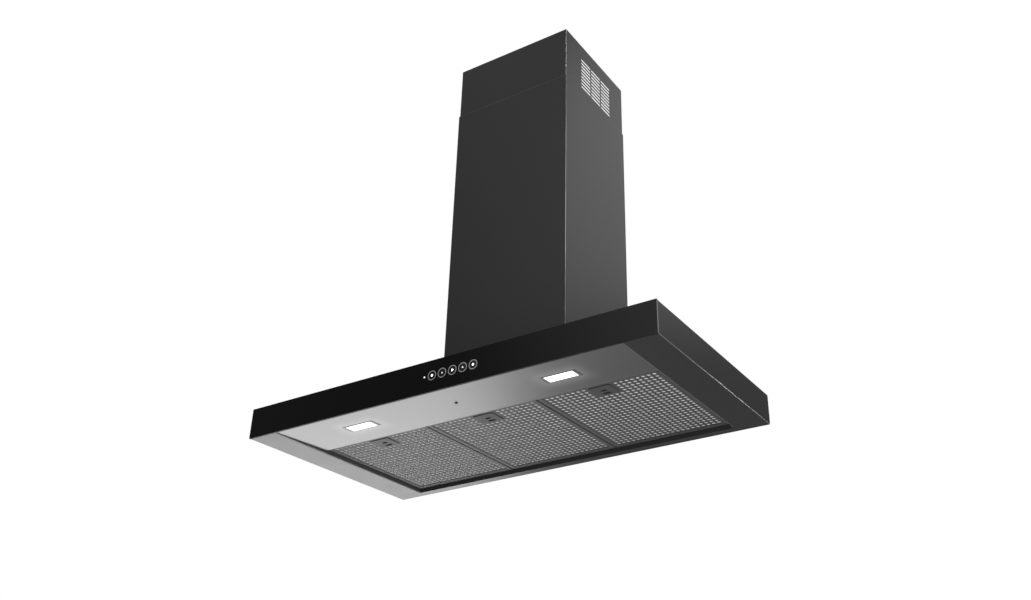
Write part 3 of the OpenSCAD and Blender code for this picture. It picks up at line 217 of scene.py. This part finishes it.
class Shader:
    """A material's node tree with one Principled shader, and short ways to add nodes to it."""

    def __init__(self, name, colour, roughness, metallic=0.0, ior=1.5):
        self.material = bpy.data.materials.new(name)
        self.material.use_nodes = True
        self.tree = self.material.node_tree
        self.tree.nodes.clear()
        self.out = self.tree.nodes.new("ShaderNodeOutputMaterial")
        self.surface = self.tree.nodes.new("ShaderNodeBsdfPrincipled")
        self.tree.links.new(self.surface.outputs[0], self.out.inputs["Surface"])
        self.put("Base Color", (*colour, 1))
        self.put("Roughness", roughness)
        self.put("Metallic", metallic)
        self.put("IOR", ior)

    def put(self, socket, value):
        """Sets one of the shader's own sockets to a constant."""
        self.surface.inputs[socket].default_value = value

    def link(self, source, socket):
        """Feeds one of the shader's sockets."""
        self.tree.links.new(source, self.surface.inputs[socket])

    def node(self, kind, inputs=(), **settings):
        """Adds a node; inputs are pairs of socket and value, where a value may be another output."""
        made = self.tree.nodes.new(kind)
        for name, value in settings.items():
            setattr(made, name, value)
        for socket, value in inputs:
            if isinstance(value, bpy.types.NodeSocket):
                self.tree.links.new(value, made.inputs[socket])
            else:
                made.inputs[socket].default_value = value
        return made

    def place(self, stretch=(1, 1, 1), turn=(0, 0, 0)):
        """Object coordinates, turned, and stretched so that a pattern gets finer along each axis."""
        coords = self.node("ShaderNodeTexCoord")
        spots = [("Vector", coords.outputs["Object"]), ("Rotation", turn), ("Scale", stretch)]
        return self.node("ShaderNodeMapping", spots).outputs["Vector"]

    def noise(self, where, scale, detail=3.0, rough=0.55):
        """Noise from 0 to 1, about 0.5 on average."""
        spots = [("Vector", where), ("Scale", scale), ("Detail", detail), ("Roughness", rough)]
        return self.node("ShaderNodeTexNoise", spots).outputs["Fac"]

    def spread(self, value, low, high, start=0.3, end=0.7):
        """Maps a value between start and end to a value between low and high."""
        spots = [("Value", value), ("From Min", start), ("From Max", end)]
        spots += [("To Min", low), ("To Max", high)]
        return self.node("ShaderNodeMapRange", spots).outputs["Result"]

    def math(self, operation, a, b=0.0):
        """One step of arithmetic on two values."""
        return self.node("ShaderNodeMath", [(0, a), (1, b)], operation=operation).outputs["Value"]

    def away(self, value, middle):
        """How far a value is from a middle."""
        return self.math("ABSOLUTE", self.math("SUBTRACT", value, middle))

    def blend(self, share, low, high):
        """A colour between two colours."""
        spots = [(0, share), (6, low), (7, high)]
        return self.node("ShaderNodeMix", spots, data_type="RGBA").outputs[2]

    def bump(self, height, strength, distance):
        """Gives the surface a bump of the given height."""
        spots = [("Height", height), ("Strength", strength), ("Distance", distance)]
        self.link(self.node("ShaderNodeBump", spots).outputs["Normal"], "Normal")

    def facing(self):
        """How much the surface faces along each axis of its object, from 0 to 1."""
        turn = {"vector_type": "NORMAL", "convert_from": "WORLD", "convert_to": "OBJECT"}
        normal = self.node("ShaderNodeNewGeometry").outputs["True Normal"]
        local = self.node("ShaderNodeVectorTransform", [("Vector", normal)], **turn).outputs["Vector"]
        parts = self.node("ShaderNodeSeparateXYZ", [(0, local)]).outputs
        return [self.math("ABSOLUTE", parts[axis]) for axis in "XYZ"]

    def inside(self, low, high):
        """1 inside a box of object coordinates and 0 outside it."""
        spot = self.node("ShaderNodeSeparateXYZ", [(0, self.place())]).outputs
        share = 1.0
        for axis, a, b in zip("XYZ", low, high):
            off = self.away(spot[axis], (a + b) / 2)
            share = self.math("MULTIPLY", self.math("LESS_THAN", off, (b - a) / 2), share)
        return share

    def recolour(self, share, colour):
        """Lays another colour over the varied base colour, by a share from 0 to 1."""
        below = self.surface.inputs["Base Color"].links[0].from_socket
        self.link(self.blend(share, below, (*colour, 1)), "Base Color")

    def tint(self, share, low, high):
        """Varies the base colour between two colours."""
        self.link(self.blend(share, (*low, 1), (*high, 1)), "Base Color")


def brushed(name, low, high, roughness, stretch, metallic=1.0, vary=0.065):
    """Metal with a fine grain, drawn out where the stretch is small, and slow changes of tone."""
    s = Shader(name, low, roughness, metallic)
    grain = s.noise(s.place(stretch), 1.0, detail=4.0, rough=0.7)
    slow = s.noise(s.place(), 3.0, detail=2.0)
    fine = s.math("MULTIPLY", grain, GRAIN_SHARE)
    tone = s.math("ADD", fine, s.math("MULTIPLY", slow, 1 - GRAIN_SHARE))
    s.tint(s.spread(tone, 0.0, 1.0), low, high)
    s.link(s.spread(grain, roughness - vary, roughness + vary), "Roughness")
    s.bump(grain, strength=0.25, distance=0.04 * MM)
    return s


def fold_highlight(shader, fold_highlight_colour):
    """Paints a highlight on folds and cut edges, where the surface turns: a pale metallic colour that
    stands in for the light they catch.
    """
    x, y, z = shader.facing()
    turned = shader.math("MULTIPLY", x, y)
    for a, b in ((y, z), (z, x)):
        turned = shader.math("ADD", turned, shader.math("MULTIPLY", a, b))
    share = shader.spread(turned, 0.0, 1.0, *FOLD_HIGHLIGHT_TURN)
    shader.recolour(share, fold_highlight_colour)
    shader.link(share, "Metallic")


def recess_wall_light(shader, colour):
    """Paints light on the canopy's opening: paler end walls, as if lit, and less of it on the rear wall,
    which is left darker as if in shade.
    """
    low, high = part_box("lamp_panel")
    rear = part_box("filter_rail")[1].y
    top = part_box("canopy_shell")[1].z
    front_low = (low.x - RECESS_MARGIN, low.y - RECESS_MARGIN, RECESS_MARGIN)
    rear_high = (high.x + RECESS_MARGIN, rear + RECESS_MARGIN, top - RECESS_TOP)
    share = shader.spread(shader.facing()[0], REAR_WALL_LIGHT, 1.0, start=0.2, end=0.8)
    shader.recolour(shader.math("MULTIPLY", shader.inside(front_low, rear_high), share), colour)


def ground_edges_lit_ends(shader, colour, ground):
    """Gives a pane rough ground edges all round, and a pale colour on its two ends only: partly the ground
    glass, partly a painted highlight where the ends catch the light.
    """
    across, through, _ = shader.facing()
    shader.tint(shader.spread(across, 0.0, 1.0, start=0.5, end=0.9), colour, ground)
    shader.link(shader.spread(through, 0.5, 0.04, start=0.3, end=0.9), "Roughness")


def moulded(name, colour, roughness, grain=900, depth=0.03 * MM):
    """Moulded plastic or rubber with a fine eroded grain."""
    vary = 0.07
    gain, offset = 1.25, 0.004
    s = Shader(name, colour, roughness)
    fine = s.noise(s.place(), grain, detail=2.0)
    slow = s.noise(s.place(), 12, detail=2.0)
    paler = [min(1.0, c * gain + offset) for c in colour]
    s.tint(s.spread(slow, 0.0, 1.0), colour, paler)
    s.link(s.spread(fine, roughness - vary, roughness + vary), "Roughness")
    s.bump(fine, strength=0.4, distance=depth)
    return s


def galvanised(name, colour, dark):
    """Zinc-plated sheet with its spangle."""
    smooth, dull = 0.34, 0.52
    s = Shader(name, colour, 0.42, metallic=1.0)
    cells = s.node("ShaderNodeTexVoronoi", [("Vector", s.place()), ("Scale", 90)]).outputs["Color"]
    tone = s.node("ShaderNodeSeparateColor", [("Color", cells)]).outputs["Red"]
    cloud = s.noise(s.place(), 25, detail=3.0)
    share = s.math("ADD", s.math("MULTIPLY", tone, 0.5), s.math("MULTIPLY", cloud, 0.5))
    s.tint(s.spread(share, 0.0, 1.0, start=0.2, end=0.8), dark, colour)
    s.link(s.spread(share, smooth, dull, start=0.2, end=0.8), "Roughness")
    s.bump(s.noise(s.place(), 400, detail=2.0), strength=0.2, distance=0.03 * MM)
    return s


def glowing(name, colour, strength):
    """A lit surface."""
    s = Shader(name, colour, 0.4)
    s.put("Emission Color", (*colour, 1))
    s.put("Emission Strength", strength)
    return s


def circuit_green(name):
    """Green solder mask with lighter tracks."""
    s = Shader(name, (0.01, 0.09, 0.03), 0.3)
    bricks = s.node("ShaderNodeTexBrick", [
        ("Vector", s.place((1, 1, 1), (math.radians(90), 0, 0))), ("Scale", 180),
        ("Color1", (0, 0, 0, 1)), ("Color2", (0.2, 0.2, 0.2, 1)), ("Mortar", (1, 1, 1, 1)),
        ("Mortar Size", 0.06), ("Row Height", 0.4),
    ]).outputs["Color"]
    s.link(s.blend(bricks, (0.008, 0.07, 0.025, 1), (0.03, 0.2, 0.07, 1)), "Base Color")
    return s


def lamp_glow(shader):
    """Light that a lamp's proud diffuser throws on the panel round it."""
    spot = shader.node("ShaderNodeSeparateXYZ", [(0, shader.place())]).outputs
    low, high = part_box("lamp_right_lens")
    middle = (low + high) / 2
    half = (high - low) / 2
    across = shader.away(shader.math("ABSOLUTE", spot["X"]), middle.x)
    along = shader.away(spot["Y"], middle.y)
    squares = []
    for off, reach in ((across, half.x), (along, half.y)):
        past = shader.math("MAXIMUM", shader.math("SUBTRACT", off, reach))
        squares.append(shader.math("MULTIPLY", past, past))
    far = shader.math("SQRT", shader.math("ADD", *squares))
    near = shader.math("POWER", shader.spread(far, 1.0, 0.0, 0.0, GLOW_REACH), GLOW_FALLOFF)
    shader.put("Emission Color", (1, 1, 1, 1))
    shader.link(shader.math("MULTIPLY", near, GLOW_STRENGTH), "Emission Strength")


def make_materials():
    """One finish for each material slot of the record, and two for the lit symbols."""
    white = grey(1)
    across = (12, 1500, 1500)
    level_round = (14, 14, 1800)
    made = {
        "black_steel": brushed("black_steel", grey(0.011, 0.0005), grey(0.015, 0.0005), 0.34,
                               level_round, metallic=0.0, vary=0.015),
        "recess_steel": brushed("recess_steel", grey(0.02, 0.001), grey(0.03, 0.001), 0.45,
                                across, metallic=0.0),
        "black_glass": Shader("black_glass", GLASS_BLACK, 0.04, ior=1.3),
        "ring_metal": brushed("ring_metal", grey(0.5, 0.01), grey(0.7, 0.01), 0.3, (600, 600, 600)),
        "indicator": glowing("indicator", white, 1.5),
        "symbol": glowing("symbol", white, 1.6),
        "symbol_dim": glowing("symbol_dim", white, 0.9),
        "button_cap": moulded("button_cap", grey(0.004, 0.0005), 0.12, 1500, 0.003 * MM),
        "black_plastic": moulded("black_plastic", grey(0.02, 0.001), 0.5),
        "grey_plastic": moulded("grey_plastic", grey(0.22, 0.01), 0.48),
        "circuit_board": circuit_green("circuit_board"),
        "black_rubber": moulded("black_rubber", grey(0.016), 0.75, 500),
        "panel_steel": brushed("panel_steel", grey(0.215), grey(0.235), 0.4, across, vary=0.03),
        "bezel_steel": brushed("bezel_steel", grey(0.2), grey(0.24), 0.45, across),
        "lamp_diffuser": glowing("lamp_diffuser", white, 1.4),
        "black_screw": moulded("black_screw", grey(0.006), 0.5),
        "filter_steel": brushed("filter_steel", grey(0.15), grey(0.175), 0.58, across),
        "filter_mesh": brushed("filter_mesh", grey(0.9), grey(0.97), 0.55, (300, 300, 300),
                               metallic=0.15),
        "latch_steel": brushed("latch_steel", grey(0.13), grey(0.15), 0.58, across),
        "spring_steel": brushed("spring_steel", grey(0.35), grey(0.5), 0.35, (500, 500, 500)),
        "zinc_steel": galvanised("zinc_steel", (0.6, 0.61, 0.62), (0.36, 0.37, 0.38)),
        "motor_metal": brushed("motor_metal", grey(0.4, 0.01), grey(0.55, 0.01), 0.5, (400, 400, 400)),
        "shaft_steel": brushed("shaft_steel", grey(0.5), grey(0.62), 0.28, (900, 300, 900)),
    }
    # Painted light: paler walls in the canopy's opening, as if lit.
    recess_wall_light(made["black_steel"], grey(0.1))
    # Painted highlight: the folds of the black steel are made pale and metallic.
    fold_highlight(made["black_steel"], grey(0.42))
    # Partly a painted highlight: the pale ends of the glass.
    ground_edges_lit_ends(made["black_glass"], GLASS_BLACK, (0.28, 0.29, 0.29))
    lamp_glow(made["panel_steel"])
    return {slot: shader.material for slot, shader in made.items()}


def finish_nodes(materials):
    """Gives each CAD node the finish of its slot in the record."""
    for part in frame["record"]["subparts"]:
        mesh = frame["nodes"][part["node"]].data
        mesh.materials.clear()
        mesh.materials.append(materials[part["material_slot"]])


def close_mesh(name, bm, material):
    """Turns a finished bmesh into a mesh with one material."""
    mesh = bpy.data.meshes.new(name)
    bmesh.ops.recalc_face_normals(bm, faces=bm.faces)
    bm.to_mesh(mesh)
    bm.free()
    mesh.materials.append(material)
    return mesh


def add_piece(name, mesh, body, stands_for=None, at=(0, 0, 0)):
    """Puts a piece on a body; it may take the place of a CAD node, which is then hidden."""
    piece = bpy.data.objects.new(name, mesh)
    piece.location = at
    bpy.context.scene.collection.objects.link(piece)
    bpy.context.view_layer.update()
    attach(piece, body)
    if stands_for:
        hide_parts(stands_for)
    return piece


def join_rings(bm, rings):
    """Faces between rings of points, with a cap at each end."""
    made = [[bm.verts.new(p) for p in ring] for ring in rings]
    for a, b in zip(made, made[1:]):
        for k in range(len(a)):
            n = (k + 1) % len(a)
            bm.faces.new((a[k], a[n], b[n], b[k]))
    bm.faces.new(made[0])
    bm.faces.new(made[-1])


def ring_angles(sides, turn=0.0):
    """Directions of a ring's points, counted from a turn."""
    return [turn + 2 * math.pi * k / sides for k in range(sides)]


def line_spans(start, slope, low, high):
    """Stretches of Y in which a slanting strand is inside a core and clear of its latch's pocket."""
    half, depth = LATCH_POCKET
    middle = (low.x + high.x) / 2

    def where(x):
        return low.y + (x - start) / slope

    first, last = sorted((where(low.x), where(high.x)))
    first, last = max(first, low.y), min(last, high.y)
    pocket_first, pocket_last = sorted((where(middle - half), where(middle + half)))
    pocket_last = min(pocket_last, low.y + depth)
    if pocket_last <= pocket_first or pocket_last <= low.y:
        return [(first, last)]
    return [(first, min(last, pocket_first)), (max(first, pocket_last), last)]


def stretch_metal(bm, kind, low, high, height, fold):
    """Expanded mesh over a rectangle: two families of slanting strands with diamonds between them.

    The strands may bend at each fold, and their height is a function of Y.
    """
    slant = kind["run"] / kind["rise"]
    half = kind["width"] / 2 * math.hypot(1, slant)
    spare = (high.y - low.y) * slant
    for way in (1, -1):
        lean = way * STRAND_LEAN * half
        first = low.x - spare if way > 0 else low.x
        for k in range(int((high.x - low.x + spare) / kind["run"])):
            start = first + (k + 0.5) * kind["run"]
            for y0, y1 in line_spans(start, way * slant, low, high):
                if y1 - y0 < 2 * kind["width"]:
                    continue
                folds = range(math.floor((y0 - low.y) / fold) + 1, math.ceil((y1 - low.y) / fold))
                rings = []
                for y in [y0] + [low.y + n * fold for n in folds] + [y1]:
                    x = start + way * slant * (y - low.y)
                    near, far = height(y) - lean, height(y) + lean
                    rings.append([
                        (x - half, y, near), (x + half, y, far),
                        (x + half, y, far + kind["thick"]), (x - half, y, near + kind["thick"]),
                    ])
                join_rings(bm, rings)


def make_meshes(materials):
    """The mesh core of each filter: a fine flat layer on the face and a coarse folded one above it."""
    box_low, box_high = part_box("filter_middle_core")
    low, high = box_low + MESH_INSET, box_high - MESH_INSET
    rise = LEAN_ROOM * STRAND_LEAN * COARSE_MESH["width"]
    fine_z = low.z + rise
    coarse_z = fine_z + 2 * rise
    fold_h = high.z - coarse_z - rise - COARSE_MESH["thick"]

    def folded(y):
        phase = (y - low.y) / MESH_FOLD % 1
        return coarse_z + fold_h * 2 * min(phase, 1 - phase)

    bm = bmesh.new()
    stretch_metal(bm, FINE_MESH, low, high, lambda y: fine_z, high.y - low.y)
    stretch_metal(bm, COARSE_MESH, low, high, folded, MESH_FOLD / 2)
    mesh = close_mesh("filter_mesh", bm, materials["filter_mesh"])
    for side in SIDES:
        node = f"filter_{side}_core"
        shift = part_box(node)[0].x - box_low.x
        add_piece(f"mesh_{side}", mesh, f"filter_{side}", node, (shift, 0, 0))


def make_symbols(materials):
    """The lit symbol on each button's cap; small ones are dimmer."""
    for button, (kind, radius, turn) in SYMBOLS.items():
        low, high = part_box(button)
        x, z = (low.x + high.x) / 2, (low.z + high.z) / 2
        angles = ring_angles(ROUND_SIDES if kind == "disc" else 3, math.radians(turn))
        rings = []
        for depth, reach in SYMBOL_PROFILE:
            y, r = low.y + depth * SYMBOL_RISE, reach * radius
            rings.append([(x + r * math.cos(a), y, z + r * math.sin(a)) for a in angles])
        bm = bmesh.new()
        join_rings(bm, rings)
        finish = "symbol_dim" if radius < DISC_R else "symbol"
        add_piece(f"{button}_symbol", close_mesh(f"{button}_symbol", bm, materials[finish]), button)


def solids_of(node):
    """The boxes of a node's separate solids."""
    bm = bmesh.new()
    bm.from_mesh(frame["nodes"][node].data)
    bmesh.ops.remove_doubles(bm, verts=bm.verts, dist=SAME_POINT)
    left = set(bm.verts)
    boxes = []
    while left:
        queue = [left.pop()]
        found = []
        while queue:
            vert = queue.pop()
            found.append(vert.co.copy())
            near = {edge.other_vert(vert) for edge in vert.link_edges} & left
            left -= near
            queue.extend(near)
        low = Vector(min(c[i] for c in found) for i in range(3))
        high = Vector(max(c[i] for c in found) for i in range(3))
        boxes.append((low, high))
    bm.free()
    return sorted(boxes, key=lambda b: tuple(round(v, 6) for v in b[0]))


def screw_mesh(bm, length, matrix):
    """A pan-head screw with a cross recess and a thread; its head's underside is at z = 0."""
    start = len(bm.verts)
    angles = ring_angles(ROUND_SIDES)

    def top(x, y):
        dome = math.sqrt(max(0.0, 1 - (x * x + y * y) / HEAD_R ** 2))
        crossed = min(abs(x), abs(y)) < RECESS_ARM and max(abs(x), abs(y)) < RECESS_REACH * HEAD_R
        return HEAD_H * (HEAD_EDGE + (1 - HEAD_EDGE) * dome - (RECESS_DEPTH if crossed else 0))

    rings = []
    for share in HEAD_RINGS:
        spots = [(share * HEAD_R * math.cos(a), share * HEAD_R * math.sin(a)) for a in angles]
        rings.append([(x, y, top(x, y)) for x, y in spots])
    rings.append([(HEAD_R * math.cos(a), HEAD_R * math.sin(a), 0) for a in angles])
    turns = round(length / THREAD_PITCH)
    for k in range(2 * turns + 1):
        r = SHANK_R * (1.0 if k % 2 else THREAD_ROOT)
        z = -length * k / (2 * turns)
        rings.append([(r * math.cos(a), r * math.sin(a), z) for a in angles])
    join_rings(bm, rings)
    bm.verts.ensure_lookup_table()
    bmesh.ops.transform(bm, matrix=matrix, verts=bm.verts[start:])


def make_screws(materials):
    """Detailed screws in place of the plain ones: upright in the housing, level in the brackets."""
    upright = bmesh.new()
    for low, high in solids_of("housing_screws"):
        seat = high.z - HEAD_H
        at = Matrix.Translation(((low.x + high.x) / 2, (low.y + high.y) / 2, seat))
        screw_mesh(upright, seat - low.z, at)
    add_piece("housing_screw_set", close_mesh("housing_screw_set", upright, materials["zinc_steel"]),
              "root", "housing_screws")
    level = bmesh.new()
    towards_room = Matrix.Rotation(math.radians(90), 4, "X")
    for low, high in solids_of("bracket_screws"):
        seat = low.y + HEAD_H
        at = Matrix.Translation(((low.x + high.x) / 2, seat, (low.z + high.z) / 2))
        screw_mesh(level, high.y - seat, at @ towards_room)
    add_piece("bracket_screw_set", close_mesh("bracket_screw_set", level, materials["zinc_steel"]),
              "upper_chimney", "bracket_screws")


def give_way(piece, joint, low, high):
    """Gives a piece its own copy of its mesh."""
    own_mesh(piece)


def make_springs(materials):
    """The latches' flat springs and the rubber domes behind the buttons."""
    for side in SIDES:
        node = f"filter_{side}_spring"
        source = frame["nodes"][node]
        mesh = source.data.copy()
        mesh.transform(source.matrix_world)
        spring = add_piece(f"spring_{side}", mesh, f"filter_{side}", node)
        give_way(spring, f"latch_{side}_pull", *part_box(node))
    for number, (low, high) in enumerate(solids_of("keypad_domes"), 1):
        x, z = (low.x + high.x) / 2, (low.z + high.z) / 2
        rings = []
        for rise, reach in DOME_PROFILE:
            y = high.y - rise * (high.y - low.y)
            r = reach * (high.x - low.x) / 2
            rings.append([(x + r * math.cos(a), y, z + r * math.sin(a)) for a in ring_angles(ROUND_SIDES)])
        bm = bmesh.new()
        join_rings(bm, rings)
        name = f"keypad_dome_{number}"
        dome = add_piece(name, close_mesh(name, bm, materials["black_rubber"]), "root",
                         "keypad_domes")
        give_way(dome, f"button_{number}_press", low, high)


def round_edges():
    """Rounds the sharp edges of CAD nodes for the render."""
    for node, width in EDGES.items():
        piece = frame["nodes"][node]
        weld = piece.modifiers.new("weld", "WELD")
        weld.merge_threshold = WELD_REACH
        if node in FLAT_PARTS:
            flat = piece.modifiers.new("flat", "DECIMATE")
            flat.decimate_type = "DISSOLVE"
            flat.angle_limit = math.radians(FLAT_ANGLE)
        bevel = piece.modifiers.new("round", "BEVEL")
        bevel.width = width
        bevel.segments = EDGE_STEPS
        bevel.limit_method = "ANGLE"
        bevel.angle_limit = math.radians(EDGE_ANGLE)


def area_light(name, at, to, size, radiance):
    """A softbox at one point that faces another: its width and height, and its radiance, which is
    1 where it would look white."""
    data = bpy.data.lights.new(name, "AREA")
    data.shape = "RECTANGLE"
    data.size, data.size_y = size
    data.energy = radiance * math.pi * size[0] * size[1]
    light = bpy.data.objects.new(name, data)
    light.location = at
    light.rotation_mode = "QUATERNION"
    light.rotation_quaternion = (Vector(to) - Vector(at)).to_track_quat("-Z", "Y")
    light.visible_camera = False
    bpy.context.scene.collection.objects.link(light)


def make_lights():
    """Softboxes round the hood; each is named after the surface that it lights."""
    area_light("chimney_side_box", (1.45, 2.1, 2.35), (0.15, -0.13, 0.5), (1.7, 1.5), 0.9)
    area_light("panel_box", (-2.2, 1.63, -1.05), (-0.3, -0.3, 0), (1.5, 0.9), 3.6)
    area_light("upright_edge_strip", (2.1, -1.65, 2.15), (0.15, -0.35, 0.5), (0.4, 2.2), 7.0)
    area_light("level_edge_strip", (1.75, 2.3, -0.45), (0.45, -0.2, 0.0), (0.7, 0.4), 9.0)
    area_light("mesh_box", (1.0, -1.6, -0.95), (0, -0.2, 0), (0.9, 0.6), 7.0)
    area_light("top_box", (-1.2, -0.8, 3.4), (0, -0.3, 0.5), (1.6, 1.6), 0.5)


def make_world():
    """A white surround for the camera, in a dim studio with a soft patch of light on its front wall."""
    world = bpy.data.worlds.new("studio")
    bpy.context.scene.world = world
    world.use_nodes = True
    tree = world.node_tree
    tree.nodes.clear()

    def add(kind, *links, **settings):
        made = tree.nodes.new(kind)
        for name, value in settings.items():
            setattr(made, name, value)
        for socket, value in links:
            if isinstance(value, bpy.types.NodeSocket):
                tree.links.new(value, made.inputs[socket])
            else:
                made.inputs[socket].default_value = value
        return made.outputs

    def ramp(value, start, end, low, high):
        return add("ShaderNodeMapRange", ("Value", value), ("From Min", start), ("From Max", end),
                   ("To Min", low), ("To Max", high), interpolation_type="SMOOTHSTEP")["Result"]

    def math_step(operation, *values):
        return add("ShaderNodeMath", *enumerate(values), operation=operation)["Value"]

    parts = add("ShaderNodeSeparateXYZ", (0, add("ShaderNodeTexCoord")["Generated"]))
    front = ramp(parts["Y"], *FRONT_REACH, 0.0, 1.0)
    level = ramp(parts["X"], *STUDIO_SIDES, *STUDIO_LEVEL)
    shade = ramp(front, 0.0, 1.0, 1.0, 1 - FRONT_SHADE)
    rise = ramp(parts["X"], *PATCH_RISE, 0.0, PATCH_GLOW)
    fall = ramp(parts["X"], *PATCH_FALL, 0.0, 1.0)
    off_mid = math_step("ABSOLUTE", math_step("SUBTRACT", parts["Z"], PATCH_MID_Z))
    height = ramp(off_mid, *PATCH_HALF_Z, 0.0, 1.0)
    width = math_step("MULTIPLY", rise, fall)
    patch = math_step("MULTIPLY", width, math_step("MULTIPLY", height, front))
    strength = math_step("MULTIPLY_ADD", level, shade, patch)
    room = add("ShaderNodeBackground", ("Color", (1, 1, 1, 1)), ("Strength", strength))["Background"]
    white = add("ShaderNodeBackground", ("Color", (1, 1, 1, 1)), ("Strength", 1.0))["Background"]
    path = add("ShaderNodeLightPath")
    seen = math_step("MAXIMUM", path["Is Camera Ray"], path["Is Transmission Ray"])
    both = add("ShaderNodeMixShader", (0, seen), (1, room), (2, white))["Shader"]
    add("ShaderNodeOutputWorld", ("Surface", both))


def make_floor():
    """The pale floor under the hood; it fades into the white surround."""
    bm = bmesh.new()
    bmesh.ops.create_grid(bm, x_segments=1, y_segments=1, size=FLOOR_HALF)
    mesh = bpy.data.meshes.new("floor")
    bm.to_mesh(mesh)
    bm.free()
    floor = bpy.data.objects.new("floor", mesh)
    floor.location = (0, 0, FLOOR_Z)
    bpy.context.scene.collection.objects.link(floor)
    s = Shader("floor", grey(0.8), 0.9)
    distance = s.node("ShaderNodeVectorMath", [(0, s.place())], operation="LENGTH").outputs["Value"]
    fade = s.spread(distance, *FADE_SHARE, *FADE_REACH)
    seen = s.node("ShaderNodeLightPath").outputs["Is Camera Ray"]
    white = s.node("ShaderNodeEmission", [("Color", (1, 1, 1, 1)), ("Strength", 1.0)]).outputs[0]
    clear = s.node("ShaderNodeBsdfTransparent").outputs[0]
    below = s.node("ShaderNodeNewGeometry").outputs["Backfacing"]
    share = s.math("MULTIPLY", fade, seen)
    top = s.node("ShaderNodeMixShader", [(0, share), (1, s.surface.outputs[0]), (2, white)]).outputs[0]
    both = s.node("ShaderNodeMixShader", [(0, below), (1, top), (2, clear)]).outputs[0]
    s.tree.links.new(both, s.out.inputs["Surface"])
    mesh.materials.append(s.material)


make_camera()
finishes = make_materials()
finish_nodes(finishes)
make_meshes(finishes)
make_symbols(finishes)
make_screws(finishes)
make_springs(finishes)
round_edges()
make_lights()
make_world()
make_floor()

bpy.context.scene.view_settings.view_transform = "Standard"
bpy.context.view_layer.update()
